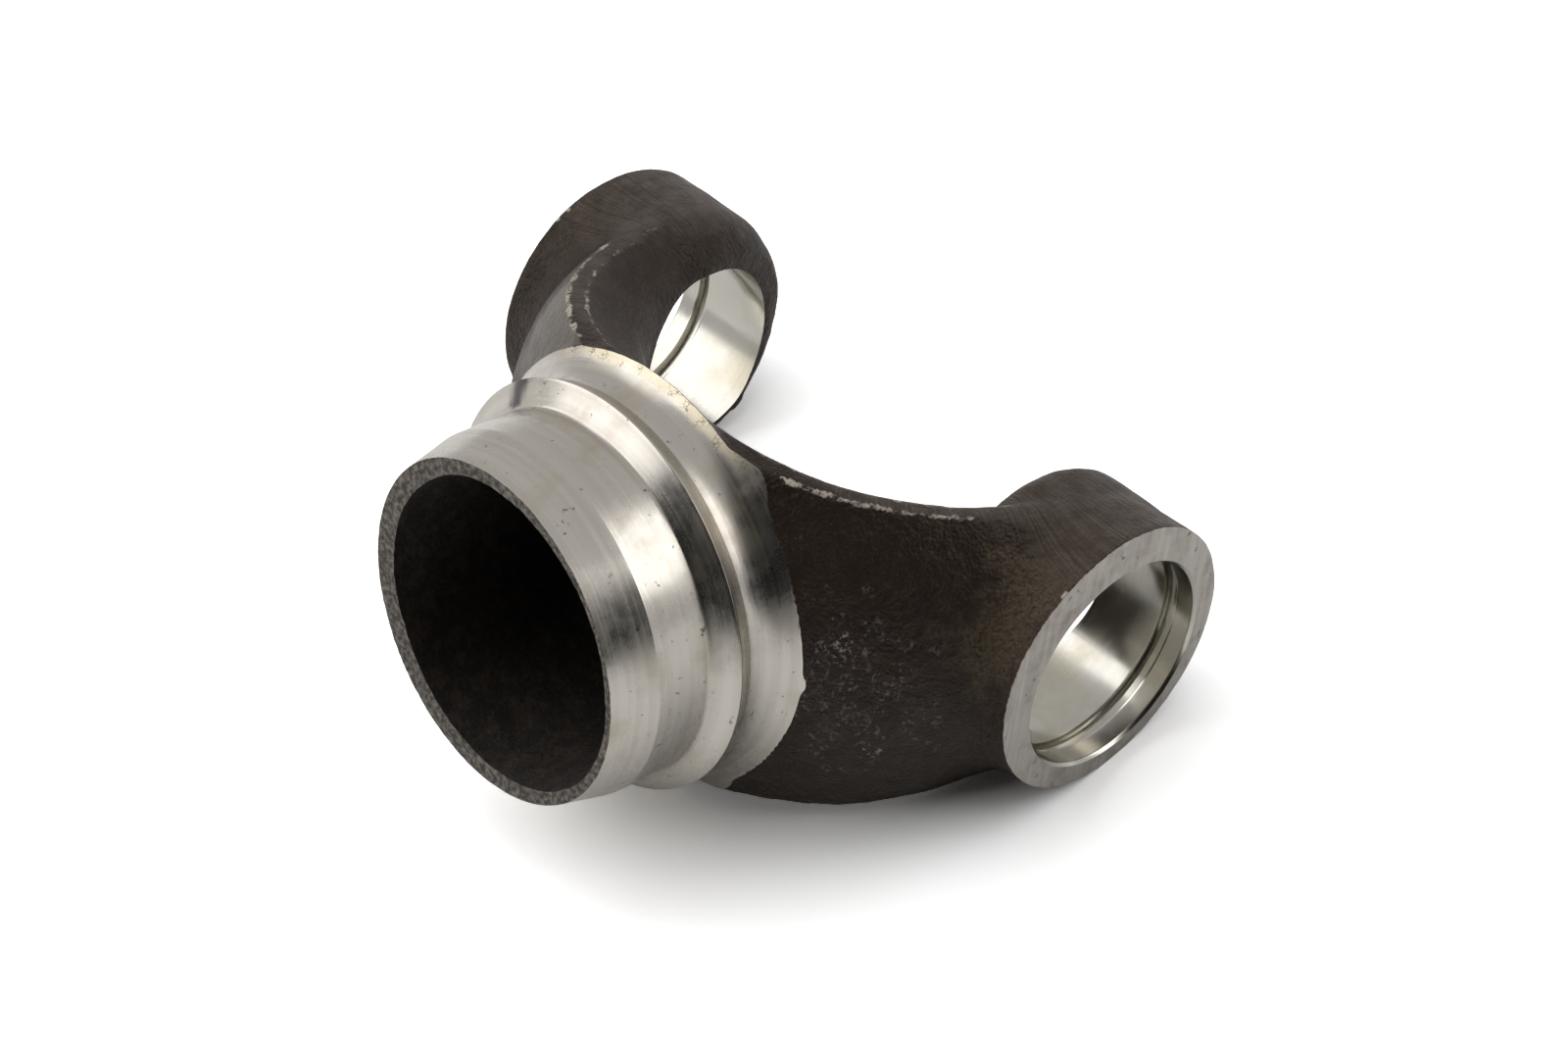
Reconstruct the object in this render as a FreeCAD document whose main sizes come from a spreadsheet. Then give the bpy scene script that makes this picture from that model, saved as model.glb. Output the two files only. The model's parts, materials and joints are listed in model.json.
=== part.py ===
"""Forged tube yoke of a universal joint, one piece, in millimetres.

The origin is the joint centre and +Y runs along the cross bore. The yoke is modelled with its neck along +X,
then turned about the cross bore until it lies on its neck ring and its arms, as it comes to rest on a floor.
"""
import FreeCAD, Part
import enum
import math
import os

import Sketcher

DRIVING_SIZES = {
    # cross bore and snap ring seats
    "bore_radius": 13.5,
    "face_reach": 45.5,
    "snap_inset": 4.6,
    "snap_width": 1.7,
    "snap_depth": 0.9,
    "mouth_chamfer": 0.35,
    # ears
    "ear_wall": 3.9,
    "near_ear_shift_along": 1.0,
    "near_ear_shift_up": 1.3,
    "near_ear_rounding": 3.0,
    "far_ear_shift_along": -0.25,
    "far_ear_shift_up": 1.85,
    "far_ear_rounding": 7.2,
    "cheek_reach": 28.6,
    "cheek_draft": 9.5,
    "forging_shift_side": 0.8,
    # arms and crotch
    "crotch_reach": 20.5,
    "elbow_fullness": 3.0,
    "root_thickness": 19.5,
    "arm_thickness": 16.0,
    "root_half_height": 24.8,
    "root_flat_half": 12.0,
    "cheek_flat_half": 14.5,
    "inner_rounding": 4.0,
    "band_start_root": 11.7,
    "band_start_arm": 6.0,
    "band_start_cheek": 7.6,
    "band_width_root": 3.0,
    "band_width_arm": 1.9,
    "band_width_cheek": 4.8,
    # turned neck
    "rim_reach": 55.5,
    "rim_radius": 21.0,
    "lead_length": 6.0,
    "pilot_length": 7.4,
    "tube_inner_radius": 22.35,
    "pilot_root_radius": 0.8,
    "weld_bevel_angle": 57.0,
    "tube_wall": 3.05,
    "relief_depth": 0.9,
    "relief_length": 2.1,
    "relief_land": 0.4,
    "flare_radius": 5.5,
    "flare_turn": 65.0,
    "shoulder_reach": 32.7,
    "shoulder_radius": 26.7,
    # hollow of the neck
    "hollow_wall": 1.95,
    "hollow_depth": 28.0,
    "hollow_taper": 5.0,
    "hollow_corner": 8.0,
    "hollow_shift_side": 1.1,
    "hollow_shift_up": 0.5,
}
ARM_STEPS = 5
ROOT_EASE = 4.4
THINNING_EASE = 6.8
TAPER_EASE = 1.2
EAR_EASE = 7
EAR_SEAM = 0.15
CUT_MARGIN = 5.0
REST_FINENESS = 0.1


class Point(enum.IntEnum):
    """The points of a sketch curve, as its constraints count them."""

    START = 1
    END = 2
    CENTRE = 3


class Size:
    """A number that carries the spreadsheet expression it was worked out from."""

    def __init__(self, value, text=None):
        self.value = float(value)
        self.text = text if text is not None else repr(float(value))

    @staticmethod
    def of(other):
        return other if isinstance(other, Size) else Size(other)

    def __add__(self, other):
        other = Size.of(other)
        return Size(self.value + other.value, f"({self.text} + {other.text})")

    def __sub__(self, other):
        other = Size.of(other)
        return Size(self.value - other.value, f"({self.text} - {other.text})")

    def __mul__(self, other):
        other = Size.of(other)
        return Size(self.value * other.value, f"({self.text} * {other.text})")

    def __truediv__(self, other):
        other = Size.of(other)
        return Size(self.value / other.value, f"({self.text} / {other.text})")

    def __neg__(self):
        return Size(-self.value, f"(-1 * {self.text})")

    __radd__ = __add__
    __rmul__ = __mul__

    def __rsub__(self, other):
        return Size.of(other) - self


def sine(degrees):
    return Size(math.sin(math.radians(degrees.value)), f"sin({degrees.text} * 1deg)")


def cosine(degrees):
    return Size(math.cos(math.radians(degrees.value)), f"cos({degrees.text} * 1deg)")


def tangent(degrees):
    return Size(math.tan(math.radians(degrees.value)), f"tan({degrees.text} * 1deg)")


def make_sheet(document):
    """The driving dimensions as named cells; returns each as a Size."""
    sheet = document.addObject("Spreadsheet::Sheet", "Sizes")
    sizes = {}
    for row, (name, value) in enumerate(DRIVING_SIZES.items(), start=1):
        sheet.set(f"A{row}", name)
        sheet.set(f"B{row}", str(value))
        sheet.setAlias(f"B{row}", name)
        sizes[name] = Size(value, f"Sizes.{name}")
    document.recompute()
    return sizes


def origin_plane(body, role):
    return next(feature for feature in body.Origin.OriginFeatures if feature.Role == role)


def place(sketch, base=(0, 0, 0), turn=0.0):
    """Offset a sketch in its own support's axes and turn it about the support's upright axis."""
    offset = FreeCAD.Placement(
        FreeCAD.Vector(*[Size.of(part).value for part in base]),
        FreeCAD.Rotation(FreeCAD.Vector(0, 1, 0), turn),
    )
    sketch.AttachmentOffset = offset
    for axis, part in zip("xyz", base):
        if isinstance(part, Size):
            sketch.setExpression(f"AttachmentOffset.Base.{axis}", part.text)


def arc_about(centre, start, end):
    """The short arc between two points about a centre, and whether it runs clockwise."""
    first = start - centre
    last = end - centre
    clockwise = first.x * last.y - first.y * last.x < 0
    if clockwise:
        first, last = last, first
    angle = math.atan2(first.y, first.x)
    swept = first.getAngle(last)
    circle = Part.Circle(centre, FreeCAD.Vector(0, 0, 1), first.Length)
    return Part.ArcOfCircle(circle, angle, angle + swept), clockwise


def pin(sketch, kind, curve, point, size):
    """Fix one coordinate of a sketch point, bound to the sheet where the size comes from it."""
    number = sketch.addConstraint(Sketcher.Constraint(kind, -1, Point.START, curve, point, size.value))
    if size.text != repr(size.value):
        sketch.setExpression(f"Constraints[{number}]", size.text)


def outline(body, name, role, steps, base=(0, 0, 0), turn=0.0):
    """A closed, fully placed sketch.

    Each step is (x, y) for a straight side to the next step, or (x, y, centre x, centre y) for an arc.
    """
    sketch = body.newObject("Sketcher::SketchObject", name)
    sketch.AttachmentSupport = [(origin_plane(body, role), "")]
    sketch.MapMode = "FlatFace"
    place(sketch, base, turn)
    corners = [(Size.of(step[0]), Size.of(step[1])) for step in steps]
    points = [FreeCAD.Vector(x.value, y.value, 0) for x, y in corners]
    starts = []
    for index, step in enumerate(steps):
        start = points[index]
        end = points[(index + 1) % len(points)]
        if len(step) == 4:
            centre = FreeCAD.Vector(Size.of(step[2]).value, Size.of(step[3]).value, 0)
            arc, clockwise = arc_about(centre, start, end)
            curve = sketch.addGeometry(arc, False)
            starts.append((curve, Point.END, Point.START) if clockwise else (curve, Point.START, Point.END))
        else:
            curve = sketch.addGeometry(Part.LineSegment(start, end), False)
            starts.append((curve, Point.START, Point.END))
    for index, (curve, first, last) in enumerate(starts):
        following = starts[(index + 1) % len(starts)]
        sketch.addConstraint(Sketcher.Constraint("Coincident", curve, last, following[0], following[1]))
    for index, (curve, first, last) in enumerate(starts):
        for kind, size in zip(("DistanceX", "DistanceY"), corners[index]):
            pin(sketch, kind, curve, first, size)
        if len(steps[index]) == 4:
            chord = points[(index + 1) % len(points)] - points[index]
            steep = abs(chord.y) > abs(chord.x)
            kind = "DistanceX" if steep else "DistanceY"
            pin(sketch, kind, curve, Point.CENTRE, Size.of(steps[index][2 if steep else 3]))
    return sketch


def arm_section(body, sizes, index):
    """One section of the bow that joins both ears: crowned outer skin, trim bands and drafted inner skin.

    The section stands on the inner curve of the bow, an ellipse made fuller at the elbows and
    drafted along the cheeks, and looks outwards along the ellipse's own turn.
    """
    turn = 90.0 * index / ARM_STEPS
    along = math.cos(math.radians(turn))
    across = math.sin(math.radians(turn))
    share = abs(index) / ARM_STEPS
    near_root = (1.0 - share * share) ** ROOT_EASE
    root_fullness = (1.0 - share * share) ** THINNING_EASE
    cheek = abs(index) == ARM_STEPS
    fullness = sizes["elbow_fullness"] * (2.0 * along * across) ** 2
    ellipse_x = sizes["crotch_reach"] * along
    draft = ellipse_x * tangent(sizes["cheek_draft"]) * across
    inner_x = ellipse_x + fullness * along
    inner_y = sizes["cheek_reach"] * across - draft + fullness * across + sizes["forging_shift_side"]
    ear_shift_up = sizes["far_ear_shift_up"] if index < 0 else sizes["near_ear_shift_up"]
    shift_up = ear_shift_up * share ** EAR_EASE
    ear_radius = sizes["bore_radius"] + sizes["ear_wall"]
    cheek_half_height = ear_radius - EAR_SEAM
    taper = (sizes["root_half_height"] - cheek_half_height) * share ** TAPER_EASE
    half_height = sizes["root_half_height"] - taper
    flat_half = sizes["root_flat_half"] + (sizes["cheek_flat_half"] - sizes["root_flat_half"]) * share
    thickness = sizes["arm_thickness"] + (sizes["root_thickness"] - sizes["arm_thickness"]) * root_fullness
    band_start = sizes["band_start_arm"] + (sizes["band_start_root"] - sizes["band_start_arm"]) * near_root
    if cheek:
        band_start = sizes["band_start_cheek"]
    root_growth = sizes["band_width_root"] - sizes["band_width_arm"]
    cheek_growth = sizes["band_width_cheek"] - sizes["band_width_arm"]
    band_width = sizes["band_width_arm"] + root_growth * near_root + cheek_growth * share ** EAR_EASE
    band_end = band_start + band_width
    rounding = sizes["inner_rounding"]
    rise = half_height - flat_half
    slope = Size(
        math.degrees(math.atan2(band_start.value, rise.value)),
        f"(atan({band_start.text} / {rise.text}) / 1deg)",
    )
    inner_x_end = rounding * sine(slope)
    inner_y_end = flat_half + rounding * cosine(slope)
    inner_radius = rounding / tangent(slope * 0.5)
    crown = thickness - band_end
    crown_radius = (crown * crown + half_height * half_height) / (crown * 2.0)
    steps = [
        (band_start, half_height),
        (inner_x_end, inner_y_end, inner_radius, flat_half - rounding),
        (Size(0.0), flat_half - rounding),
        (Size(0.0), rounding - flat_half, inner_radius, rounding - flat_half),
        (inner_x_end, -inner_y_end),
        (band_start, -half_height),
        (band_end, -half_height, thickness - crown_radius, Size(0.0)),
        (band_end, half_height),
    ]
    name = f"BowSection{index + ARM_STEPS:02d}"
    return outline(body, name, "XZ_Plane", steps, (inner_x, shift_up, -inner_y), turn)


def make_bow(body, sizes):
    """The bow from one ear through the crotch to the other, as one loft."""
    sections = [arm_section(body, sizes, index) for index in range(-ARM_STEPS, ARM_STEPS + 1)]
    loft = body.newObject("PartDesign::AdditiveLoft", "Bow")
    loft.Profile = sections[0]
    loft.Sections = [(section, [""]) for section in sections[1:]]
    loft.Ruled = False
    return loft


def make_ear(body, sizes, end, side):
    """One ear about its own forged axis, rounded towards the cheek."""
    name = end.capitalize() + "Ear"
    radius = sizes["bore_radius"] + sizes["ear_wall"]
    inner = sizes["cheek_reach"] * side + sizes["forging_shift_side"]
    rounding = sizes[end + "_ear_rounding"]
    rounding_end = inner + rounding * side
    outer = (sizes["face_reach"] + CUT_MARGIN) * side
    steps = [
        (Size(0.0), inner),
        (radius - rounding, inner, radius - rounding, rounding_end),
        (radius, rounding_end),
        (radius, outer),
        (Size(0.0), outer),
    ]
    base = (sizes[end + "_ear_shift_along"], Size(0.0), sizes[end + "_ear_shift_up"])
    sketch = outline(body, name + "Profile", "XY_Plane", steps, base)
    ear = body.newObject("PartDesign::Revolution", name)
    ear.Profile = sketch
    ear.ReferenceAxis = (sketch, ["V_Axis"])
    ear.Angle = 360.0
    return ear


def neck_stations(sizes):
    """Distances from the joint centre to each change of the turned neck."""
    lead_end = sizes["rim_reach"] - sizes["lead_length"]
    pilot_end = lead_end - sizes["pilot_length"]
    ring_front = pilot_end - sizes["tube_wall"] / tangent(sizes["weld_bevel_angle"])
    relief_end = ring_front - sizes["relief_length"]
    return lead_end, pilot_end, ring_front, relief_end


def make_neck_blank(body, sizes):
    """The forged neck before turning, whose back edge stays as a burr over the crotch."""
    steps = [
        (sizes["shoulder_reach"], 0.0),
        (sizes["shoulder_reach"], sizes["shoulder_radius"]),
        (sizes["rim_reach"], sizes["shoulder_radius"]),
        (sizes["rim_reach"], 0.0),
    ]
    sketch = outline(body, "NeckBlankProfile", "XY_Plane", steps)
    blank = body.newObject("PartDesign::Revolution", "NeckBlank")
    blank.Profile = sketch
    blank.ReferenceAxis = (sketch, ["H_Axis"])
    blank.Angle = 360.0
    return blank


def turn_neck(body, sizes):
    """The lathe cut: lead cone, pilot, weld bevel, ring, relief and flare."""
    lead_end, pilot_end, ring_front, relief_end = neck_stations(sizes)
    ring_radius = sizes["tube_inner_radius"] + sizes["tube_wall"]
    floor = ring_radius - sizes["relief_depth"]
    flare_start = relief_end - sizes["relief_land"]
    flare_end = flare_start - sizes["flare_radius"] * sine(sizes["flare_turn"])
    flare_rise = floor + sizes["flare_radius"] * (1.0 - cosine(sizes["flare_turn"]))
    back = flare_end - CUT_MARGIN * cosine(sizes["flare_turn"])
    clear = sizes["root_half_height"] + sizes["face_reach"]
    front = sizes["rim_reach"] + CUT_MARGIN
    root_radius = sizes["pilot_root_radius"]
    root_tangent = root_radius * tangent(sizes["weld_bevel_angle"] * 0.5)
    root_start = pilot_end + root_tangent
    root_end = pilot_end - root_tangent * cosine(sizes["weld_bevel_angle"])
    root_end_radius = sizes["tube_inner_radius"] + root_tangent * sine(sizes["weld_bevel_angle"])
    steps = [
        (front, sizes["rim_radius"]),
        (sizes["rim_reach"], sizes["rim_radius"]),
        (lead_end, sizes["tube_inner_radius"]),
        (root_start, sizes["tube_inner_radius"], root_start, sizes["tube_inner_radius"] + root_radius),
        (root_end, root_end_radius),
        (ring_front, ring_radius),
        (relief_end, floor),
        (flare_start, floor, flare_start, floor + sizes["flare_radius"]),
        (flare_end, flare_rise),
        (back, flare_rise + CUT_MARGIN * sine(sizes["flare_turn"])),
        (back, clear),
        (front, clear),
    ]
    sketch = outline(body, "NeckTurningProfile", "XY_Plane", steps)
    cut = body.newObject("PartDesign::Groove", "NeckTurning")
    cut.Profile = sketch
    cut.ReferenceAxis = (sketch, ["H_Axis"])
    cut.Angle = 360.0
    return cut


def sink_hollow(body, sizes):
    """The forged hollow of the neck, on its own slightly shifted axis."""
    mouth_radius = sizes["rim_radius"] - sizes["hollow_wall"]
    taper = tangent(sizes["hollow_taper"])
    floor = sizes["rim_reach"] - sizes["hollow_depth"]
    corner = sizes["hollow_corner"]
    wall_end = floor + corner
    wall_end_radius = mouth_radius - (sizes["hollow_depth"] - corner) * taper
    front = sizes["rim_reach"] + CUT_MARGIN
    steps = [
        (floor, 0.0),
        (floor, wall_end_radius - corner, wall_end, wall_end_radius - corner),
        (wall_end, wall_end_radius),
        (front, mouth_radius + taper * CUT_MARGIN),
        (front, 0.0),
    ]
    base = (Size(0.0), sizes["hollow_shift_side"], sizes["hollow_shift_up"])
    sketch = outline(body, "NeckHollowProfile", "XY_Plane", steps, base)
    cut = body.newObject("PartDesign::Groove", "NeckHollow")
    cut.Profile = sketch
    cut.ReferenceAxis = (sketch, ["H_Axis"])
    cut.Angle = 360.0
    return cut


def clear_between_cheeks(body, sizes):
    """The drafted gap between the ears' inner faces."""
    depth = sizes["bore_radius"] + sizes["ear_wall"] + CUT_MARGIN
    cheek = sizes["cheek_reach"]
    open_cheek = cheek + depth * tangent(sizes["cheek_draft"])
    steps = [(0.0, cheek), (-depth, open_cheek), (-depth, -open_cheek), (0.0, -cheek)]
    base = (Size(0.0), sizes["forging_shift_side"], Size(0.0))
    sketch = outline(body, "CheekGapProfile", "XY_Plane", steps, base)
    gap = body.newObject("PartDesign::Pocket", "CheekGap")
    gap.Profile = sketch
    gap.Type = "ThroughAll"
    gap.Midplane = True
    return gap


def mill_face(body, sizes, name, side):
    """The flat outer face of one ear."""
    half = sizes["bore_radius"] + sizes["ear_wall"] + sizes["root_half_height"]
    face = sizes["face_reach"] * side
    clear = (sizes["face_reach"] + sizes["arm_thickness"]) * side
    steps = [(-half, face), (half, face), (half, clear), (-half, clear)]
    sketch = outline(body, name + "Profile", "XY_Plane", steps)
    cut = body.newObject("PartDesign::Pocket", name)
    cut.Profile = sketch
    cut.Type = "ThroughAll"
    cut.Midplane = True
    return cut


def bore_ears(body, sizes):
    """The cross bore through both ears, with snap ring seats and mouth chamfers."""
    radius = sizes["bore_radius"]
    seat = radius + sizes["snap_depth"]
    mouth = radius + sizes["mouth_chamfer"]
    face = sizes["face_reach"]
    inner_wall = face - sizes["snap_inset"]
    outer_wall = inner_wall + sizes["snap_width"]
    chamfer_start = face - sizes["mouth_chamfer"]
    end = face + CUT_MARGIN
    half_outline = [
        (radius, inner_wall),
        (seat, inner_wall),
        (seat, outer_wall),
        (radius, outer_wall),
        (radius, chamfer_start),
        (mouth, face),
        (mouth, end),
        (0.0, end),
    ]
    mirrored = [(x, -Size.of(y)) for x, y in reversed(half_outline)]
    sketch = outline(body, "CrossBoreProfile", "XY_Plane", half_outline + mirrored)
    cut = body.newObject("PartDesign::Groove", "CrossBore")
    cut.Profile = sketch
    cut.ReferenceAxis = (sketch, ["V_Axis"])
    cut.Angle = 360.0
    return cut


def resting_tilt(shape):
    """The angle of the lower hull edge that the centre of mass stands over, seen along the cross bore."""
    points = shape.tessellate(REST_FINENESS)[0]
    lower = []
    for x, z in sorted((point.x, point.z) for point in points):
        while len(lower) > 1:
            (first_x, first_z), (last_x, last_z) = lower[-2:]
            if (last_x - first_x) * (z - first_z) - (last_z - first_z) * (x - first_x) > 0:
                break
            lower.pop()
        lower.append((x, z))
    centre = shape.CenterOfGravity
    for (first_x, first_z), (last_x, last_z) in zip(lower, lower[1:]):
        run_x = last_x - first_x
        run_z = last_z - first_z
        reach = (centre.x - first_x) * run_x + (centre.z - first_z) * run_z
        if 0 <= reach <= run_x * run_x + run_z * run_z:
            return math.degrees(math.atan2(run_z, run_x))
    raise RuntimeError("no resting edge under the centre of mass")


def check_document(document):
    """Stop when any object failed or any body is not one valid solid."""
    for item in document.Objects:
        if "Invalid" in item.State or "Error" in item.State:
            raise RuntimeError(f"{item.Name} failed: {item.State}")
    for item in document.Objects:
        if item.TypeId == "PartDesign::Body":
            if item.Shape.isNull() or not item.Shape.isValid() or len(item.Shape.Solids) != 1:
                raise RuntimeError(f"{item.Name} is not one valid solid")


def apply(document, feature, adds):
    """Recompute and make sure that the feature changed the volume the way it should."""
    before = feature.BaseFeature.Shape.Volume if feature.BaseFeature else 0.0
    document.recompute()
    after = feature.Shape.Volume
    print(f"{feature.Name}: {before:.0f} -> {after:.0f} mm3, valid {feature.Shape.isValid()}")
    if (after > before) != adds:
        raise RuntimeError(f"{feature.Name} changed nothing")


def main():
    document = FreeCAD.newDocument("ForgedYoke")
    sizes = make_sheet(document)
    body = document.addObject("PartDesign::Body", "Yoke")
    body.Label = "yoke"
    apply(document, make_bow(body, sizes), True)
    apply(document, make_neck_blank(body, sizes), True)
    apply(document, make_ear(body, sizes, "near", 1), True)
    apply(document, make_ear(body, sizes, "far", -1), True)
    apply(document, clear_between_cheeks(body, sizes), False)
    apply(document, turn_neck(body, sizes), False)
    apply(document, sink_hollow(body, sizes), False)
    apply(document, mill_face(body, sizes, "NearFace", 1), False)
    apply(document, mill_face(body, sizes, "FarFace", -1), False)
    apply(document, bore_ears(body, sizes), False)
    tilt = resting_tilt(body.Shape)
    body.Placement = FreeCAD.Placement(FreeCAD.Vector(), FreeCAD.Rotation(FreeCAD.Vector(0, 1, 0), tilt))
    document.recompute()
    check_document(document)
    os.makedirs("parts", exist_ok=True)
    body.Shape.exportStep(os.path.join("parts", body.Label + ".step"))
    print(f"volume {body.Shape.Volume:.0f} mm3, tilt {tilt:.2f} degrees, {body.Shape.BoundBox}")


main()
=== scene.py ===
"""Forged tube yoke of a universal joint: forged skin, turned neck, bored and milled ears, white studio."""
import json
import math

import bmesh
import bpy
import numpy as np
from mathutils import Matrix, Vector, noise


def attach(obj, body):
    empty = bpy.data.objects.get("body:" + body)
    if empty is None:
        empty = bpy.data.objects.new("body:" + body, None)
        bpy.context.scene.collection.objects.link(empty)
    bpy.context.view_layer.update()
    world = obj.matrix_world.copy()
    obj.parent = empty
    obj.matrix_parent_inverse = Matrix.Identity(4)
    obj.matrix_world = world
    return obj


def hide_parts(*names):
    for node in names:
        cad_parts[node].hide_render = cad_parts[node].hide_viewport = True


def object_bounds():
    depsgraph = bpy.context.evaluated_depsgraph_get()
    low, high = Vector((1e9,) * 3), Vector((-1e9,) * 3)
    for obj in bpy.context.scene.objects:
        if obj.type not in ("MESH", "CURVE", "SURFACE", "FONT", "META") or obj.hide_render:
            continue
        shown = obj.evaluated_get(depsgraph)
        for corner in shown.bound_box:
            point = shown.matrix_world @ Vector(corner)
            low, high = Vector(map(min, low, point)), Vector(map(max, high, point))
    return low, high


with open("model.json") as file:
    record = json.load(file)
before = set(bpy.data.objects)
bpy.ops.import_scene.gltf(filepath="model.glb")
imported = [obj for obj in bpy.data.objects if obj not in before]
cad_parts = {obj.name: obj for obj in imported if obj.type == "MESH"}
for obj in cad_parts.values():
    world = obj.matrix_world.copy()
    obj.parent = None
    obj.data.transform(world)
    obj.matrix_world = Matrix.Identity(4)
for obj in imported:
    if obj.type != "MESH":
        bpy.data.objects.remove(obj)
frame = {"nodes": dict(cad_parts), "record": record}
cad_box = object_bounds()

# The modelling frame is in millimetres: the cross bore runs along Y and the neck along X.
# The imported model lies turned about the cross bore, and its record says by how much.
mounts = {mount["name"]: mount for mount in frame["record"]["mounts"]}
neck_axis = Vector(mounts["tube_pilot"]["axis"])
TILT = -math.atan2(neck_axis.z, neck_axis.x)
LYING = Matrix.Rotation(TILT, 4, "Y")
METRE = 1000

# cross bore and its snap ring grooves, by distance from the middle of the joint
BORE = 13.5
FACE = 45.5
BORE_CHAMFER = 0.35
SNAP_IN, SNAP_OUT, SNAP_RADIUS = 40.9, 42.6, 14.4
# where the middle of each round ear is (x, z), by the side it is on
EAR_CENTRES = {1: (1.0, 1.3), -1: (-0.25, 1.85)}

# forged hollow of the neck: the middle of its circle (y, z), its mouth, floor, corner and draft
RIM = 55.5
HOLLOW_AXIS = (1.1, 0.5)
HOLLOW_MOUTH = 19.05
HOLLOW_FLOOR = 27.5
HOLLOW_CORNER = 8.0
HOLLOW_TAPER = math.tan(math.radians(5))

# stock left on the forging, the grid it is remeshed on, and how far past the surface the cutters reach
ALLOWANCE = 1.1
VOXEL = 0.5
OVERRUN = 6.0
NECK_BACK = 30.52
LATHE_REACH = 80.0

FORGED, TURNED, BORED, MILLED, HOLLOW, RIMMED = range(6)


def arc(centre, radius, turns):
    """Points (distance along the neck, radius) on a hollow arc, by how far each has turned to the ears."""
    return [(centre[0] - radius * math.sin(math.radians(t)), centre[1] - radius * math.cos(math.radians(t)))
            for t in turns]


# (distance along the neck, radius) from the rim to the back of the flare
NECK = [(RIM, 21.0), (49.5, 22.35)] + arc((42.534, 23.15), 0.8, (0, 19, 38, 57))
NECK += [(40.119, 25.4), (38.019, 24.5)] + arc((37.619, 30.0), 5.5, range(0, 66, 5))
NECK += [(NECK_BACK, 32.21)]
LEAD_SLOPE = 0.225


def link(name, mesh):
    """A new object for the mesh, in the scene."""
    thing = bpy.data.objects.new(name, mesh)
    bpy.context.scene.collection.objects.link(thing)
    return thing


def mesh_from(name, points, faces):
    mesh = bpy.data.meshes.new(name)
    mesh.from_pydata([tuple(p) for p in points], [], faces)
    mesh.update()
    return mesh


def points_of(mesh):
    out = np.empty(len(mesh.vertices) * 3)
    mesh.vertices.foreach_get("co", out)
    return out.reshape(-1, 3)


def normals_of(mesh):
    out = np.empty(len(mesh.vertices) * 3)
    mesh.vertex_normals.foreach_get("vector", out)
    return out.reshape(-1, 3)


def put_points(mesh, points):
    mesh.vertices.foreach_set("co", points.astype(np.float32).ravel())
    mesh.update()


def applied(thing):
    """The thing's mesh with its modifiers worked in."""
    graph = bpy.context.evaluated_depsgraph_get()
    mesh = bpy.data.meshes.new_from_object(thing.evaluated_get(graph), depsgraph=graph)
    thing.modifiers.clear()
    old = thing.data
    thing.data = mesh
    bpy.data.meshes.remove(old)
    return thing


def grain(points, size, octaves=1, shift=0.0):
    """Smooth noise of about one feature per size, for each point."""
    offset = Vector((shift, shift * 0.37, -shift * 0.71))
    if octaves == 1:
        return np.array([noise.noise(Vector(p) / size + offset) for p in points])
    return np.array([noise.fractal(Vector(p) / size + offset, 1.0, 2.0, octaves) for p in points])


def step(low, high, value):
    """Zero below low, one above high, and smooth between."""
    t = np.clip((value - low) / (high - low), 0, 1)
    return t * t * (3 - 2 * t)


def revolve(name, profile, axis, count, material, centre=(0.0, 0.0)):
    """A closed ring or plug: the profile's (distance, radius) points turned about an axis."""
    points = []
    faces = []
    rows = len(profile)
    for index in range(count):
        angle = 2 * math.pi * index / count
        for along, radius in profile:
            a = centre[0] + radius * math.cos(angle)
            b = centre[1] + radius * math.sin(angle)
            points.append((along, a, b) if axis == "X" else (a, along, b))
    for index in range(count):
        here = index * rows
        there = (index + 1) % count * rows
        for row in range(rows):
            following = (row + 1) % rows
            faces.append((here + row, here + following, there + following, there + row))
    mesh = mesh_from(name, points, faces)
    bm = bmesh.new()
    bm.from_mesh(mesh)
    bmesh.ops.remove_doubles(bm, verts=bm.verts, dist=1e-4)
    bmesh.ops.dissolve_degenerate(bm, edges=bm.edges, dist=1e-5)
    bmesh.ops.recalc_face_normals(bm, faces=bm.faces)
    for face in bm.faces:
        face.material_index = material
    bm.to_mesh(mesh)
    bm.free()
    return link(name, dressed(mesh))


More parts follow.
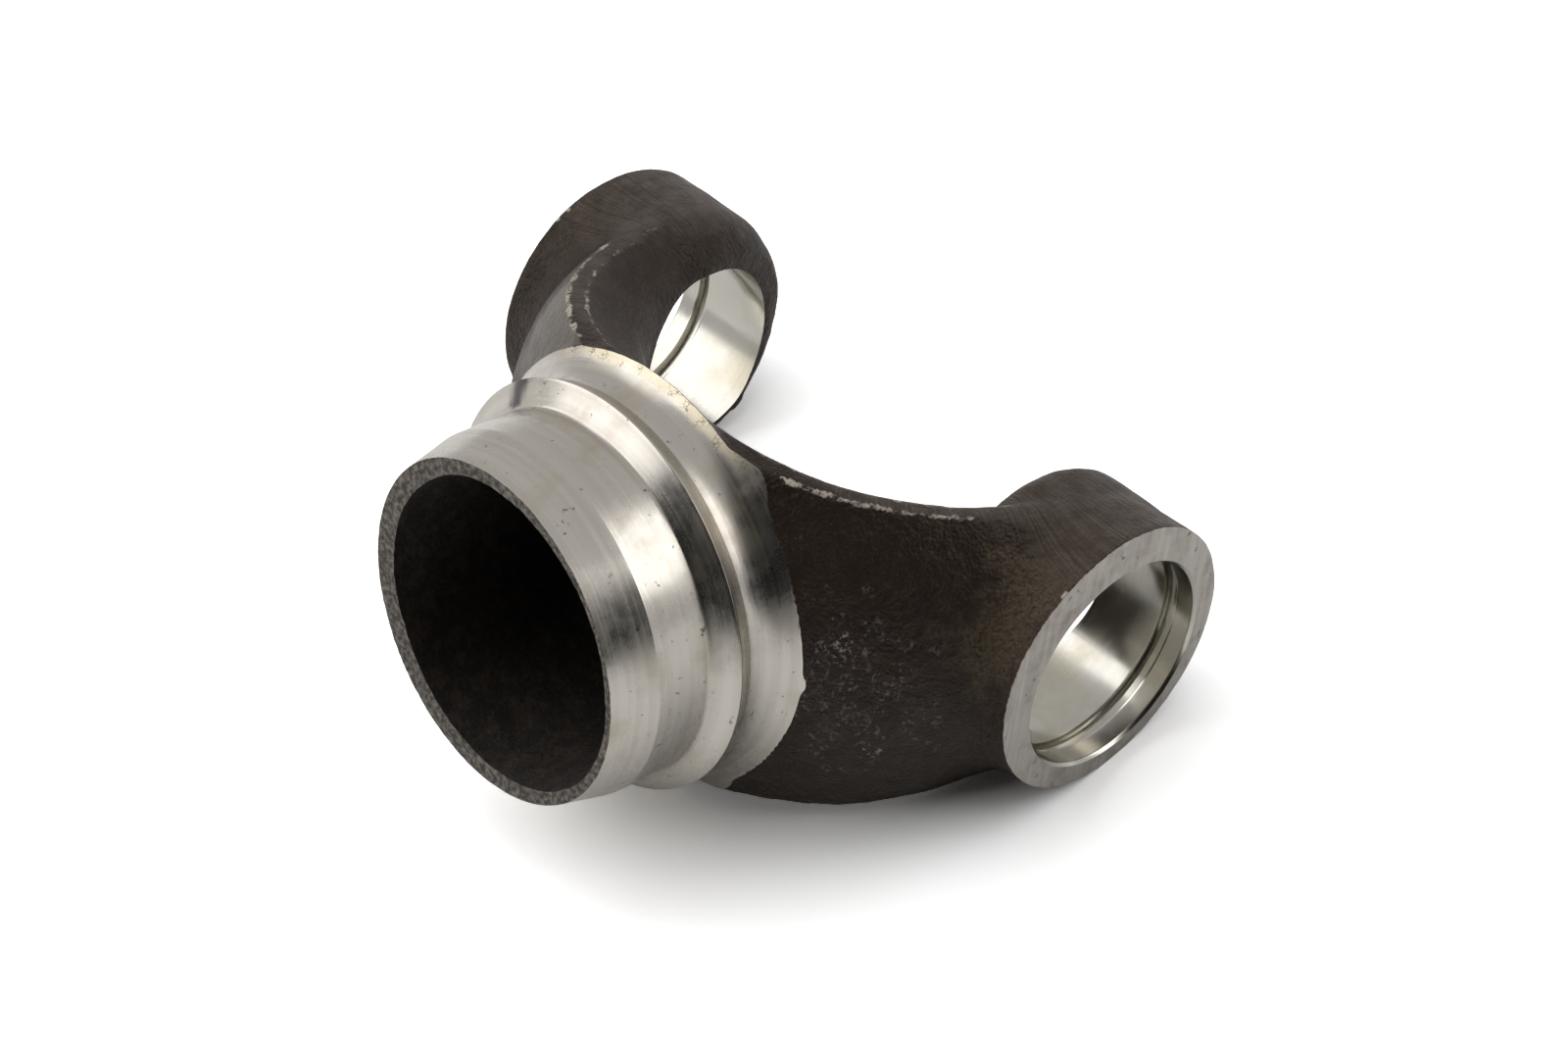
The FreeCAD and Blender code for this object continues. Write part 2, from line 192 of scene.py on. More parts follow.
# --- materials ---
class Nodes:
    """Short calls for a material's node tree."""

    def __init__(self, name):
        self.material = bpy.data.materials.new(name)
        self.material.use_nodes = True
        self.tree = self.material.node_tree
        self.tree.nodes.clear()
        self.shader = self.add("ShaderNodeBsdfPrincipled")
        output = self.add("ShaderNodeOutputMaterial")
        self.join(self.shader.outputs["BSDF"], output.inputs["Surface"])
        lying = self.add("ShaderNodeTexCoord").outputs["Object"]
        self.place = self.add("ShaderNodeMapping", {"Vector": lying, "Rotation": (0, -TILT, 0)}).outputs[0]
        self.parts = self.add("ShaderNodeSeparateXYZ", {"Vector": self.place}).outputs

    def add(self, kind, inputs=None, **settings):
        made = self.tree.nodes.new(kind)
        for key, value in settings.items():
            setattr(made, key, value)
        for key, value in (inputs or {}).items():
            self.put(made.inputs[key], value)
        return made

    def join(self, source, socket):
        self.tree.links.new(source, socket)

    def put(self, socket, value):
        if isinstance(value, bpy.types.NodeSocket):
            self.join(value, socket)
        else:
            socket.default_value = value

    def math(self, operation, *values):
        made = self.add("ShaderNodeMath", operation=operation)
        for socket, value in zip(made.inputs, values):
            self.put(socket, value)
        return made.outputs[0]

    def noise(self, scale, detail=3.0, rough=0.55, vector=None):
        inputs = {"Vector": vector or self.place, "Scale": scale, "Detail": detail, "Roughness": rough}
        return self.add("ShaderNodeTexNoise", inputs).outputs["Fac"]

    def line_noise(self, place, scale, detail=2.0, rough=0.5):
        """Noise that changes along one line only."""
        made = self.add("ShaderNodeTexNoise", noise_dimensions="1D")
        for key, value in (("W", place), ("Scale", scale), ("Detail", detail), ("Roughness", rough)):
            self.put(made.inputs[key], value)
        return made.outputs["Fac"]

    def span(self, value, low, high, to_low=0.0, to_high=1.0):
        """The value's range from low to high spread over another range, and held at its ends."""
        made = self.add("ShaderNodeMapRange", {"Value": value, "From Min": low, "From Max": high,
                                               "To Min": to_low, "To Max": to_high}, clamp=True)
        return made.outputs[0]

    def blend(self, amount, first, second):
        """The first colour at nought and the second at one."""
        made = self.add("ShaderNodeMix", data_type="RGBA")
        self.put(made.inputs["Factor"], amount)
        for socket, value in ((made.inputs[6], first), (made.inputs[7], second)):
            self.put(socket, (*value, 1.0) if isinstance(value, tuple) else value)
        return made.outputs[2]

    def stretched(self, x, y, z):
        """The place scaled by a different amount along each axis, for drawn-out marks."""
        made = self.add("ShaderNodeMapping", {"Vector": self.place, "Scale": (x, y, z)})
        return made.outputs[0]

    def bump(self, height, distance, strength=1.0):
        inputs = {"Height": height, "Distance": distance, "Strength": strength}
        return self.add("ShaderNodeBump", inputs).outputs[0]

    def attribute(self, name):
        """A mask that the mesh carries at its points."""
        return self.add("ShaderNodeAttribute", attribute_name=name).outputs["Fac"]

    def set(self, **values):
        """The material, with each of the shader's named sockets set or joined."""
        for key, value in values.items():
            self.put(self.shader.inputs[key.replace("_", " ")], value)
        return self.material


def forged_material():
    """Dark brown scale with trimmed bands, a pale grey patch, painted olive highlights, dust and worn ridges.
    """
    n = Nodes("forged_scale")
    broad = n.noise(70, 3)
    mottle = n.noise(380, 4, 0.6)
    fine = n.noise(2300, 2, 0.55)
    colour = n.blend(n.span(broad, 0.35, 0.65), (0.0105, 0.0055, 0.0032), (0.019, 0.0112, 0.0072))
    colour = n.blend(n.span(mottle, 0.45, 0.75, 0, 0.6), colour, (0.034, 0.020, 0.0125))
    # trimmed bands and ear tops: greyer, with fine marks across them
    turn = n.math("ARCTAN2", n.parts["Y"], n.parts["X"])
    warp = n.span(n.noise(200, 2), 0, 1, 0, 0.018)
    marks = n.line_noise(n.math("ADD", turn, warp), 95, 3, 0.7)
    band = n.attribute("band")
    grey = n.blend(n.span(marks, 0.35, 0.65), (0.034, 0.024, 0.018), (0.075, 0.058, 0.046))
    colour = n.blend(n.math("MULTIPLY", band, n.span(mottle, 0.25, 0.6, 0.35, 1.0)), colour, grey)
    # a lighter grey patch on the far arm beside the flare
    bright = n.blend(fine, (0.10, 0.088, 0.076), (0.20, 0.18, 0.16))
    colour = n.blend(n.attribute("pale_patch"), colour, bright)
    # painted olive highlights on the near ear's foot, dust, and the bright line where the ridges have worn
    tan = n.math("MULTIPLY", n.attribute("tan"), n.span(fine, 0.35, 0.6, 0.25, 1.0))
    colour = n.blend(tan, colour, (0.070, 0.052, 0.032))
    dust = n.math("MULTIPLY", n.attribute("dust"), n.span(n.noise(1500, 4, 0.7), 0.52, 0.66))
    colour = n.blend(dust, colour, (0.34, 0.31, 0.30))
    rubbed = n.span(n.noise(900, 3, 0.7), 0.40, 0.56)
    worn = n.math("MULTIPLY", n.span(n.attribute("edge"), 0.45, 0.8), rubbed)
    colour = n.blend(worn, colour, (0.46, 0.41, 0.35))
    marked = n.math("MULTIPLY", n.math("MULTIPLY", marks, 1.1), band)
    leathery = n.math("ADD", n.math("MULTIPLY", fine, 0.8), n.noise(1000, 2, 0.5))
    height = n.math("ADD", leathery, marked)
    rough = n.span(mottle, 0.3, 0.7, 0.55, 0.40)
    return n.set(Base_Color=colour, Roughness=rough, Metallic=n.math("MULTIPLY", worn, 0.6),
                 Normal=n.bump(height, 0.0003), Specular_IOR_Level=0.34,
                 Specular_Tint=(1.0, 0.86, 0.74, 1.0))


def steel_marks(n, colour, stain, specks):
    """Beige stains and small dark pits over a machined surface."""
    colour = n.blend(n.span(stain, 0.54, 0.70, 0, 0.42), colour, (0.42, 0.35, 0.24))
    return n.blend(n.span(specks, 0.66, 0.72, 0, 0.75), colour, (0.12, 0.07, 0.04))


def turned_material():
    """Bright turned steel of the neck, with a burnt strip beside the burr."""
    n = Nodes("turned_steel")
    lines = n.noise(1.0, 3, 0.7, n.stretched(3600, 16, 16))
    bands = n.noise(1.0, 2, 0.6, n.stretched(700, 8, 8))
    stain = n.noise(150, 5, 0.62)
    specks = n.noise(800, 3, 0.6)
    colour = n.blend(n.span(bands, 0.3, 0.7), (0.50, 0.465, 0.415), (0.60, 0.565, 0.51))
    colour = steel_marks(n, colour, stain, specks)
    # the burnt and cracked strip beside the burr
    cream = n.attribute("cream")
    cells = n.add("ShaderNodeTexVoronoi", {"Vector": n.place, "Scale": 2000, "Randomness": 1.0},
                  feature="DISTANCE_TO_EDGE").outputs["Distance"]
    crack = n.math("MULTIPLY", n.span(cells, 0.0, 0.10, 1, 0), n.span(n.noise(500, 3), 0.46, 0.56))
    colour = n.blend(n.math("MULTIPLY", cream, 0.8), colour, (0.66, 0.58, 0.43))
    colour = n.blend(n.math("MULTIPLY", crack, cream), colour, (0.05, 0.03, 0.02))
    # a near-black spot on the top of the weld bevel
    colour = n.blend(n.attribute("dark_bevel_spot"), colour, (0.05, 0.045, 0.05))
    rough = n.math("ADD", n.span(stain, 0.4, 0.7, 0.17, 0.34), n.span(lines, 0.3, 0.7, 0.0, 0.10))
    rough = n.math("ADD", rough, n.math("MULTIPLY", cream, 0.12))
    return n.set(Base_Color=colour, Roughness=rough, Metallic=1.0, Normal=n.bump(lines, 0.000012, 0.5))


def bored_material():
    """Smooth bored steel with a pale brown film."""
    n = Nodes("bored_steel")
    lines = n.noise(1.0, 3, 0.7, n.stretched(12, 3600, 12))
    stain = n.noise(110, 4, 0.6)
    colour = n.blend(n.span(stain, 0.48, 0.70, 0, 0.55), (0.56, 0.54, 0.49), (0.47, 0.41, 0.28))
    rough = n.math("ADD", n.span(stain, 0.4, 0.7, 0.13, 0.26), n.span(lines, 0.3, 0.7, 0.0, 0.06))
    return n.set(Base_Color=colour, Roughness=rough, Metallic=1.0, Normal=n.bump(lines, 0.000008, 0.4))


def milled_material():
    """Greyer steel of the ear faces, with brown spots."""
    n = Nodes("milled_steel")
    lines = n.noise(1.0, 3, 0.7, n.stretched(1400, 1, 90))
    stain = n.noise(220, 5, 0.65)
    specks = n.noise(620, 4, 0.65)
    colour = n.blend(n.span(lines, 0.3, 0.7), (0.36, 0.335, 0.305), (0.50, 0.47, 0.43))
    colour = n.blend(n.span(stain, 0.48, 0.70, 0, 0.6), colour, (0.25, 0.205, 0.17))
    colour = n.blend(n.span(specks, 0.62, 0.70, 0, 0.85), colour, (0.07, 0.045, 0.035))
    rough = n.span(stain, 0.3, 0.7, 0.34, 0.5)
    return n.set(Base_Color=colour, Roughness=rough, Metallic=1.0, Normal=n.bump(lines, 0.00002, 0.6))


def hollow_material():
    """Near-black scale inside the neck."""
    n = Nodes("hollow_scale")
    mottle = n.noise(500, 4, 0.65)
    colour = n.blend(n.span(mottle, 0.45, 0.75), (0.010, 0.007, 0.005), (0.045, 0.030, 0.019))
    height = n.noise(1500, 3, 0.6)
    return n.set(Base_Color=colour, Roughness=n.span(mottle, 0.3, 0.7, 0.75, 0.55), Metallic=0.0,
                 Normal=n.bump(height, 0.0002, 0.8))


def rim_material():
    """Grainy, half-bright end of the neck."""
    n = Nodes("rim_scale")
    mottle = n.noise(1300, 4, 0.65)
    colour = n.blend(n.span(mottle, 0.42, 0.70), (0.035, 0.028, 0.022), (0.26, 0.23, 0.19))
    return n.set(Base_Color=colour, Roughness=0.5, Metallic=0.5, Normal=n.bump(mottle, 0.00015, 0.8))


# in the order of FORGED, TURNED, BORED, MILLED, HOLLOW, RIMMED
LOOKS = [build() for build in (forged_material, turned_material, bored_material, milled_material,
                               hollow_material, rim_material)]


def dressed(mesh):
    """The mesh with every look in its material slots."""
    for look in LOOKS:
        mesh.materials.append(look)
    return mesh


# --- the forging before machining ---
def profile_distance(points):
    """Distance of each point to the turned profile, in the half plane through the neck's axis."""
    along = points[:, 0]
    radius = np.hypot(points[:, 1], points[:, 2])
    best = np.full(len(points), 1e9)
    for (x0, r0), (x1, r1) in zip(NECK, NECK[1:]):
        dx, dr = x1 - x0, r1 - r0
        t = np.clip(((along - x0) * dx + (radius - r0) * dr) / (dx * dx + dr * dr), 0, 1)
        best = np.minimum(best, np.hypot(along - x0 - t * dx, radius - r0 - t * dr))
    return best


def cad_copy():
    """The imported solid's mesh, closed, in the modelling frame."""
    mesh = frame["nodes"]["yoke"].data.copy()
    mesh.transform(Matrix.Scale(METRE, 4) @ LYING.inverted())
    bm = bmesh.new()
    bm.from_mesh(mesh)
    bmesh.ops.remove_doubles(bm, verts=bm.verts, dist=0.004)
    bmesh.ops.recalc_face_normals(bm, faces=bm.faces)
    bm.to_mesh(mesh)
    bm.free()
    return mesh


def machined_faces(mesh):
    """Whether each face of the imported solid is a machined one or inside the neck."""
    near = 0.05
    points = points_of(mesh)
    off_neck = profile_distance(points)
    round_bore = np.hypot(points[:, 0], points[:, 2])
    flags = []
    for face in mesh.polygons:
        ids = list(face.vertices)
        own = points[ids]
        side = np.abs(own[:, 1])
        neck = (own[:, 0] > NECK_BACK - 1.02).all() and (off_neck[ids] < near).all()
        milled = (side > FACE - 0.02).all()
        in_bore = (round_bore[ids] < SNAP_RADIUS + near).all() and side.min() > 20
        bored = in_bore and (abs(face.normal.y) < 0.5 or side.min() > 36)
        radius = np.hypot(own[:, 1] - HOLLOW_AXIS[0], own[:, 2] - HOLLOW_AXIS[1])
        inside = (own[:, 0] > HOLLOW_FLOOR - 0.1).all() and (radius < HOLLOW_MOUTH + 0.15).all()
        front = (own[:, 0] > RIM - 0.02).all()
        flags.append(neck or milled or bored or inside or front)
    return flags


def blank():
    """The forging with a little stock left on every surface that is machined later."""
    mesh = cad_copy()
    flags = machined_faces(mesh)
    bm = bmesh.new()
    bm.from_mesh(mesh)
    bm.faces.ensure_lookup_table()
    rough = [face for face, flag in zip(bm.faces[:], flags) if not flag]
    bmesh.ops.delete(bm, geom=rough, context="FACES")
    stock_mesh = bpy.data.meshes.new("stock")
    bm.to_mesh(stock_mesh)
    bm.free()
    stock = link("stock", stock_mesh)
    thick = stock.modifiers.new("thick", "SOLIDIFY")
    thick.thickness = ALLOWANCE * 2
    thick.offset = 0
    thick.use_rim = True
    applied(stock)
    solid = link("forging", mesh)
    bm = bmesh.new()
    bm.from_mesh(solid.data)
    bm.from_mesh(stock.data)
    bm.to_mesh(solid.data)
    bm.free()
    bpy.data.objects.remove(stock)
    remesh = solid.modifiers.new("remesh", "REMESH")
    remesh.mode = "VOXEL"
    remesh.voxel_size = VOXEL
    return applied(solid)


def neighbours(mesh):
    """The two points of each edge."""
    edges = np.empty(len(mesh.edges) * 2, np.int64)
    mesh.edges.foreach_get("vertices", edges)
    return edges.reshape(-1, 2)


def relaxed(points, edges, weight, times):
    """Each point moved towards the middle of its neighbours by its weight, several times over."""
    count = np.bincount(edges.ravel(), minlength=len(points))[:, None]
    points = points.copy()
    for _ in range(times):
        total = np.zeros_like(points)
        np.add.at(total, edges[:, 0], points[edges[:, 1]])
        np.add.at(total, edges[:, 1], points[edges[:, 0]])
        points += (total / np.maximum(count, 1) - points) * weight[:, None]
    return points


def foot_mask(points):
    """Where each round ear sweeps into its arm, away from the neck's own cuts."""
    mask = np.zeros(len(points))
    for side, (cx, cz) in EAR_CENTRES.items():
        radius = np.hypot(points[:, 0] - cx, points[:, 2] - cz)
        reach = points[:, 1] * side
        near = step(12.0, 17.0, radius) * (1 - step(21.0, 26.0, radius))
        high = step(33.0, 38.0, reach) * (1 - step(43.6, 44.6, reach))
        mask = np.maximum(mask, near * high * step(-9, -3, points[:, 0]))
    return mask * step(2.0, 5.0, profile_distance(points))


def forge(solid):
    """Sweeps, waves and grain of the forged skin."""
    mesh = solid.data
    points = points_of(mesh)
    edges = neighbours(mesh)
    everywhere = np.full(len(points), 0.5)
    points = relaxed(points, edges, everywhere, 1)
    points = relaxed(points, edges, foot_mask(points) * 0.9, 60)
    put_points(mesh, points)
    normals = normals_of(mesh)
    wave = grain(points, 13.0) * 0.20 + grain(points, 5.5, shift=9.0) * 0.11
    fine = grain(points, 2.1, octaves=2, shift=31.0) * 0.055
    calm = 0.15 + 0.85 * step(1.3, 6.0, profile_distance(points))
    put_points(mesh, points + normals * ((wave + fine) * calm)[:, None])
    return solid


# --- machining ---
def cut(solid, cutter):
    """The solid with the cutter's shape taken out and the cutter's looks on the new faces."""
    tool = solid.modifiers.new("cut", "BOOLEAN")
    tool.operation = "DIFFERENCE"
    tool.object = cutter
    tool.solver = "MANIFOLD"
    tool.material_mode = "INDEX"
    applied(solid)
    bpy.data.objects.remove(cutter)
    return solid


def rounded(profile, radius, hold=0.25):
    """The profile with its corners eased by short arcs, and points beside them that keep long runs flat."""
    out = [Vector(profile[0])]
    for before, here, after in zip(profile, profile[1:], profile[2:]):
        here = Vector(here)
        back = Vector(before) - here
        on = Vector(after) - here
        turn = math.pi - back.angle(on)
        if turn < math.radians(8):
            out.append(here)
            continue
        reach = min(radius * math.tan(turn / 2), back.length * 0.3, on.length * 0.3)
        start = here + back.normalized() * reach
        end = here + on.normalized() * reach
        if back.length > 3 * (reach + hold):
            out.append(here + back.normalized() * (reach + hold))
        out += [start, (start + end) * 0.25 + here * 0.5, end]
        if on.length > 3 * (reach + hold):
            out.append(here + on.normalized() * (reach + hold))
    return [tuple(point) for point in out + [Vector(profile[-1])]]


def lathe_cutter():
    """All that the turning takes away round the neck."""
    edge = rounded([(RIM + OVERRUN, NECK[0][1] - LEAD_SLOPE * OVERRUN)] + NECK, 0.16)
    outside = [(NECK_BACK, LATHE_REACH), (RIM + OVERRUN, LATHE_REACH)]
    return revolve("lathe", edge + outside, "X", 320, TURNED)


def front_cutter():
    """The rough face of the rim: a slab with a grainy front."""
    reach, pitch, depth = 27.0, 0.55, 8
    across = np.arange(-reach, reach + 0.01, pitch)
    count = len(across)
    last = count - 1
    front = [(RIM, y, z) for y in across for z in across]
    lift = grain(front, 1.3, octaves=2, shift=3.0) * 0.10 + grain(front, 5.0, shift=5.0) * 0.10
    front = [(x - abs(d), y, z) for (x, y, z), d in zip(front, lift)]
    back = [(RIM + depth, y, z) for y in across for z in across]
    behind = count * count
    faces = []
    for i in range(last):
        for j in range(last):
            a = i * count + j
            corners = (a, a + 1, a + count + 1, a + count)
            faces.append(corners)
            faces.append(tuple(n + behind for n in reversed(corners)))
    outline = list(range(count)) + [i * count + last for i in range(1, count)]
    outline += [last * count + j for j in range(last - 1, -1, -1)]
    outline += [i * count for i in range(last - 1, 0, -1)]
    for a, b in zip(outline, outline[1:] + outline[:1]):
        faces.append((b, a, a + behind, b + behind))
    mesh = mesh_from("front", front + back, faces)
    bm = bmesh.new()
    bm.from_mesh(mesh)
    bmesh.ops.recalc_face_normals(bm, faces=bm.faces)
    for face in bm.faces:
        face.material_index = RIMMED
    bm.to_mesh(mesh)
    bm.free()
    return link("front", dressed(mesh))


def hollow_cutter():
    """The forged hollow, tapering to a rounded floor, rough all over."""
    wall = HOLLOW_MOUTH - 20.0 * HOLLOW_TAPER
    pitch, floor_steps = 0.7, 13
    beyond = [OVERRUN - pitch * n for n in range(37)]
    profile = [(RIM + x, HOLLOW_MOUTH + x * HOLLOW_TAPER) for x in beyond]
    profile = [p for p in profile if p[0] > HOLLOW_FLOOR + HOLLOW_CORNER + 0.3]
    profile += [(HOLLOW_FLOOR + HOLLOW_CORNER - HOLLOW_CORNER * math.sin(t),
                 wall - HOLLOW_CORNER + HOLLOW_CORNER * math.cos(t)) for t in np.linspace(0, math.pi / 2, 18)]
    inner = profile[-1][1]
    profile += [(HOLLOW_FLOOR, inner * (1 - n / floor_steps)) for n in range(1, floor_steps)]
    profile += [(HOLLOW_FLOOR, 0.0), (RIM + OVERRUN, 0.0)]
    tool = revolve("hollow", profile, "X", 170, HOLLOW, HOLLOW_AXIS)
    mesh = tool.data
    points = points_of(mesh)
    normals = normals_of(mesh)
    lift = grain(points, 1.5, octaves=2, shift=12.0) * 0.09 + grain(points, 7.0, shift=17.0) * 0.16
    lift *= 1 - step(RIM + 3, RIM + 5, points[:, 0])
    put_points(mesh, points + normals * lift[:, None])
    return tool


def bore_cutter():
    """The cross bore with both snap ring grooves and chamfers."""
    past = 4.0
    edge = rounded([(0.0, BORE), (SNAP_IN, BORE), (SNAP_IN, SNAP_RADIUS), (SNAP_OUT, SNAP_RADIUS),
                    (SNAP_OUT, BORE), (FACE - BORE_CHAMFER, BORE),
                    (FACE + past, BORE + past + BORE_CHAMFER)], 0.08)
    profile = [(y, r) for y, r in edge if y > 0]
    whole = [(-y, r) for y, r in reversed(profile)] + profile
    return revolve("bore", whole + [(FACE + past, 0.0), (-FACE - past, 0.0)], "Y", 240, BORED)


def face_cutter(side):
    """What the milling takes off an ear's end."""
    width, depth = 80, 10
    mesh = bpy.data.meshes.new("face")
    bm = bmesh.new()
    bmesh.ops.create_cube(bm, size=1.0)
    bmesh.ops.scale(bm, vec=(width, depth, width), verts=bm.verts)
    bmesh.ops.translate(bm, vec=(0, side * (FACE + depth / 2), 0), verts=bm.verts)
    for face in bm.faces:
        face.material_index = MILLED
    bm.to_mesh(mesh)
    bm.free()
    return link("face", dressed(mesh))


solid = forge(blank())
solid.data.materials.clear()
dressed(solid.data)
for cutter in (lathe_cutter(), front_cutter(), hollow_cutter(), face_cutter(1), face_cutter(-1),
               bore_cutter()):
    cut(solid, cutter)


# --- wear, dust, stains, and painted highlights on the near ear's foot ---
# spots: middle, radius, how ragged the edge is, how large its rags are, and where their noise is read
# a lighter grey patch on the far arm beside the flare, on faces turned towards the rim
PALE_PATCH = ((29, -22, 18), 13, 0.3, 4.0, 3.0)
# painted olive highlights on the sweep where the near ear's foot runs into its arm
PAINTED_HIGHLIGHTS = (((17, 42, 8), 7.0, 0.5, 3.0, 5.0), ((13, 42, 14.5), 6.5, 0.5, 3.0, 6.0))
DUST = (((30.5, 30, 5.5), 3.2, 0.9, 1.6, 7.0), ((26.3, 33.8, -8.1), 1.8, 0.9, 1.2, 8.0))
THIN_DUST = ((29, 31, 0), 9.0, 1.6, 2.4, 9.0)
# a near-black spot on the top of the weld bevel
DARK_BEVEL_SPOT = ((40.9, -15.0, 19.3), 2.6, 0.5, 1.5, 10.0)


def blob(points, centre, radius, ragged, size, shift):
    """One at a spot's middle and nothing past its ragged edge."""
    away = np.linalg.norm(points - np.array(centre), axis=1) / radius
    near = away < 1.6
    out = np.zeros(len(points))
    rough = grain(points[near], size, octaves=2, shift=shift) * ragged
    out[near] = 1 - step(0.45, 1.0, away[near] + rough)
    return out


def masks(points, normals, bulge):
    """What each point shows of wear, trimming, dust, stains and painted highlights, by name."""
    off_neck = profile_distance(points)
    radius = np.hypot(points[:, 1], points[:, 2])
    ragged = grain(points, 2.6, octaves=2, shift=41.0)
    upright = np.abs(normals[:, 2])
    band = step(0.72, 0.88, upright + ragged * 0.06) * step(2.0, 4.0, off_neck)
    band *= np.abs(points[:, 1]) > 12
    away_from_cuts = (off_neck > 0.6) * (np.hypot(points[:, 0], points[:, 2]) > 16.0)
    edge = step(0.035, 0.10, bulge) * away_from_cuts
    top = step(0.78, 0.90, points[:, 2] / np.maximum(radius, 1.0) + 0.05 * ragged)
    cream = step(25.6, 26.3, radius + ragged * 0.5) * top
    # lighter grey patch on the far arm, only on faces turned towards the rim and not flat
    pale_patch = blob(points, *PALE_PATCH) * (normals[:, 0] > 0.1) * (upright < 0.8)
    # painted olive highlights on the near ear's foot
    tan = np.maximum(*(blob(points, *spot) for spot in PAINTED_HIGHLIGHTS))
    dust = np.maximum(*(blob(points, *spot) for spot in DUST))
    dust = np.maximum(dust, 0.4 * blob(points, *THIN_DUST))
    return {"edge": edge, "band": band, "cream": cream, "pale_patch": pale_patch * 0.75, "tan": tan, "dust": dust,
            "dark_bevel_spot": 0.85 * blob(points, *DARK_BEVEL_SPOT)}


def finish_mesh(solid):
    """Crisp edges between cuts, the masks that the materials read, and the lying place in metres."""
    mesh = solid.data
    points = points_of(mesh)
    normals = normals_of(mesh)
    soft = relaxed(points, neighbours(mesh), np.full(len(points), 0.5), 5)
    bulge = np.einsum("ij,ij->i", points - soft, normals)
    for name, values in masks(points, normals, bulge).items():
        mesh.attributes.new(name, "FLOAT", "POINT").data.foreach_set("value", values.astype(np.float32))
    mesh.polygons.foreach_set("use_smooth", np.ones(len(mesh.polygons), bool))
    mesh.set_sharp_from_angle(angle=math.radians(32))
    mesh.transform(LYING @ Matrix.Scale(1 / METRE, 4))
    solid.name = "yoke_forging"


finish_mesh(solid)
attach(solid, "root")
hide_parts("yoke")

# --- studio ---
scene = bpy.context.scene
scene.view_settings.view_transform = "Standard"
low, high = cad_box


def math_node(tree, operation, *values):
    """The result of a math node in the tree, from sockets or numbers."""
    made = tree.nodes.new("ShaderNodeMath")
    made.operation = operation
    for socket, value in zip(made.inputs, values):
        if isinstance(value, bpy.types.NodeSocket):
            tree.links.new(value, socket)
        else:
            socket.default_value = value
    return made.outputs[0]


def floor_material():
    """White paper that the camera sees brighter than it lights the object, to meet the white background."""
    paper, mirrored_gain = 0.85, 0.1
    look = bpy.data.materials.new("floor_white")
    look.use_nodes = True
    tree = look.node_tree
    tree.nodes.clear()
    path = tree.nodes.new("ShaderNodeLightPath").outputs
    looked_at = math_node(tree, "MAXIMUM", path["Is Camera Ray"], path["Is Transmission Ray"])
    mirrored = math_node(tree, "MULTIPLY", path["Is Glossy Ray"], mirrored_gain)
    white = math_node(tree, "ADD", math_node(tree, "ADD", looked_at, mirrored), paper)
    diffuse = tree.nodes.new("ShaderNodeBsdfDiffuse")
    tree.links.new(white, diffuse.inputs["Color"])
    output = tree.nodes.new("ShaderNodeOutputMaterial")
    tree.links.new(diffuse.outputs[0], output.inputs[0])
    return look


FLOOR_REACH = 3
floor = link("floor", mesh_from("floor", [(-FLOOR_REACH, -FLOOR_REACH, 0), (FLOOR_REACH, -FLOOR_REACH, 0),
                                          (FLOOR_REACH, FLOOR_REACH, 0), (-FLOOR_REACH, FLOOR_REACH, 0)],
                                [(0, 1, 2, 3)]))
floor.location.z = low[2]
floor.data.materials.append(floor_material())


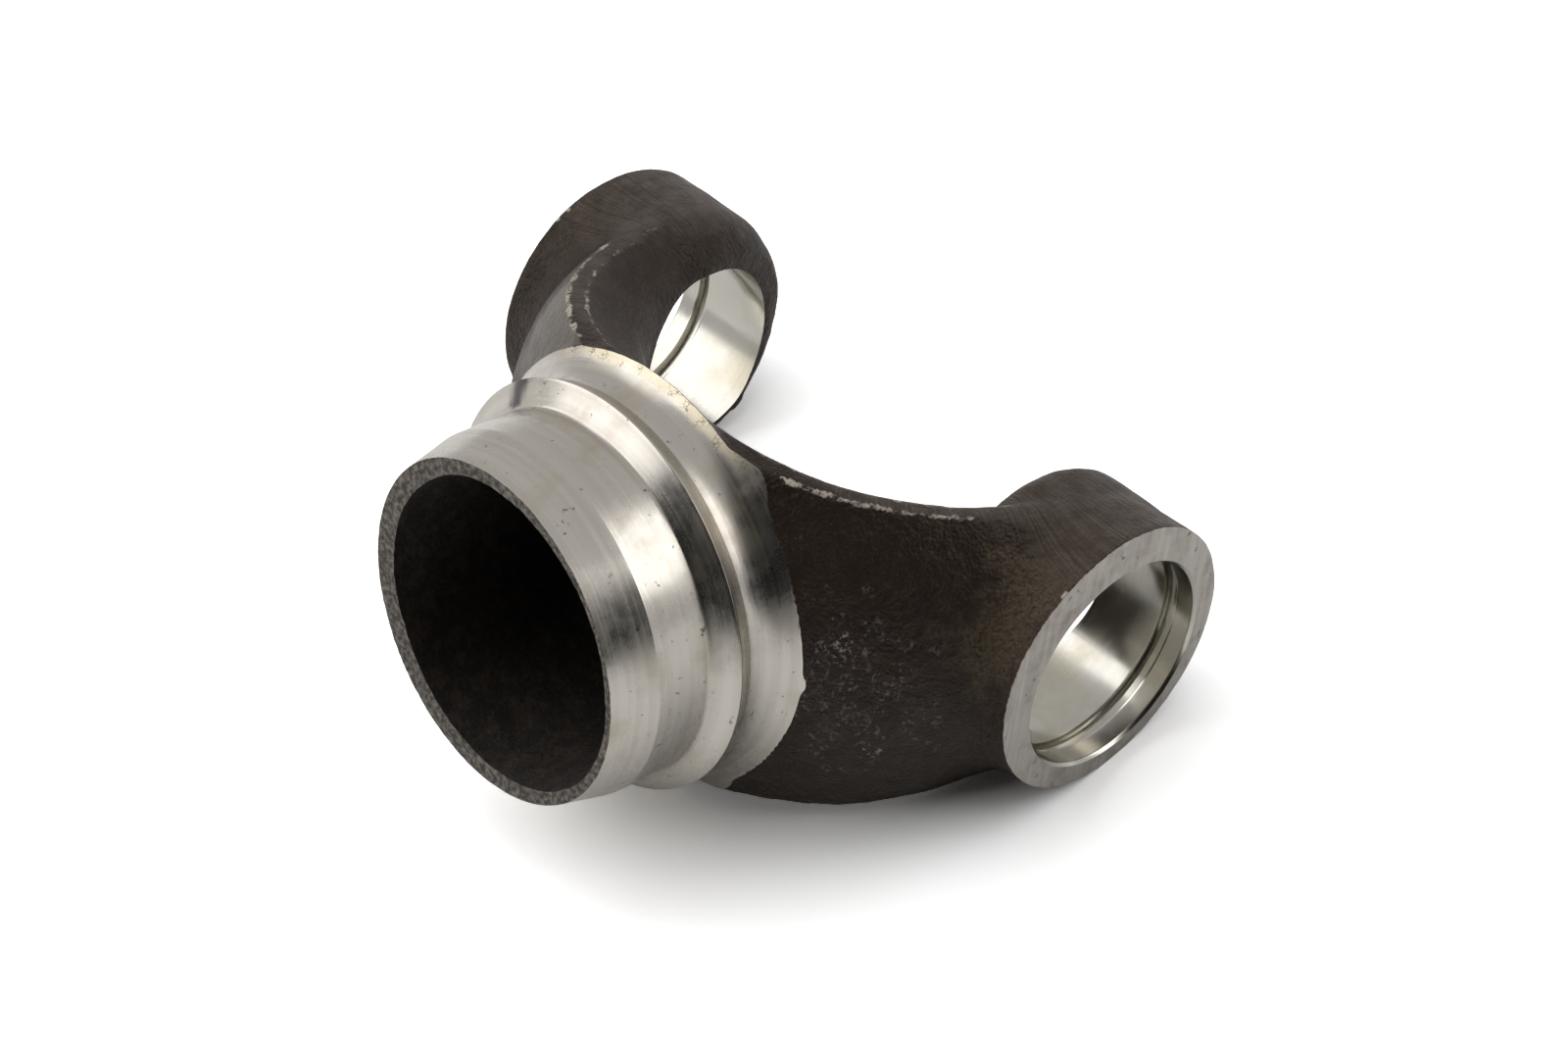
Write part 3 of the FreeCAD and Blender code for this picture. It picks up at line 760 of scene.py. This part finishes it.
def studio_world():
    """White behind the object, and a darker room on the side that the object is looked at from."""
    world = bpy.data.worlds.new("studio")
    world.use_nodes = True
    tree = world.node_tree
    background = tree.nodes["Background"]
    background.inputs["Strength"].default_value = 1.0
    way = tree.nodes.new("ShaderNodeTexCoord").outputs["Generated"]
    dot = tree.nodes.new("ShaderNodeVectorMath")
    dot.operation = "DOT_PRODUCT"
    dark_side = math.radians(45)
    dot.inputs[1].default_value = (math.cos(dark_side), math.sin(dark_side), 0.0)
    tree.links.new(way, dot.inputs[0])
    room = tree.nodes.new("ShaderNodeMapRange")
    room.interpolation_type = "SMOOTHSTEP"
    for key, value in (("From Min", 0.18), ("From Max", 0.42), ("To Min", 0.6), ("To Max", 0.012)):
        room.inputs[key].default_value = value
    tree.links.new(dot.outputs["Value"], room.inputs["Value"])
    seen = tree.nodes.new("ShaderNodeLightPath").outputs["Is Camera Ray"]
    tree.links.new(math_node(tree, "MAXIMUM", seen, room.outputs[0]), background.inputs["Color"])
    return world


scene.world = studio_world()


def lamp(name, azimuth, elevation, distance, width, height, radiance, glossy=True):
    """An area lamp that looks at the object from a direction, with its brightness given as radiance."""
    data = bpy.data.lights.new(name, "AREA")
    data.shape = "RECTANGLE"
    data.size = width
    data.size_y = height
    data.energy = radiance * math.pi * width * height
    thing = link(name, data)
    a, e = math.radians(azimuth), math.radians(elevation)
    aim = Vector((math.cos(a) * math.cos(e), math.sin(a) * math.cos(e), math.sin(e)))
    centre = (Vector(low) + Vector(high)) / 2
    thing.location = centre + aim * distance
    thing.rotation_euler = aim.to_track_quat("Z", "Y").to_euler()
    thing.visible_glossy = glossy
    return thing


lamp("lamp_right", azimuth=141, elevation=30, distance=0.7, width=0.46, height=0.40, radiance=1.7)
lamp("lamp_left", azimuth=-52, elevation=40, distance=0.7, width=0.85, height=0.62, radiance=1.45)
lamp("lamp_top", azimuth=-129, elevation=68, distance=0.9, width=0.7, height=0.7, radiance=1.2, glossy=False)

# --- camera ---
# in the modelling frame: where it is, and which ways are right, down and ahead in its picture
CAMERA_PLACE = Vector((254.83, 229.99, 240.17))
RIGHT = Vector((-0.73447, 0.67033, 0.10585))
DOWN = Vector((0.33488, 0.49367, -0.80259))
AHEAD = Vector((-0.59026, -0.55403, -0.58707))
camera_data = bpy.data.cameras.new("camera")
camera_data.sensor_width = 36
camera_data.lens = 78.455
camera_data.clip_start = 0.01
camera = link("camera", camera_data)
turn = Matrix((RIGHT, -DOWN, -AHEAD)).transposed().to_4x4()
camera.matrix_world = LYING @ Matrix.Translation(CAMERA_PLACE / METRE) @ turn
scene.camera = camera
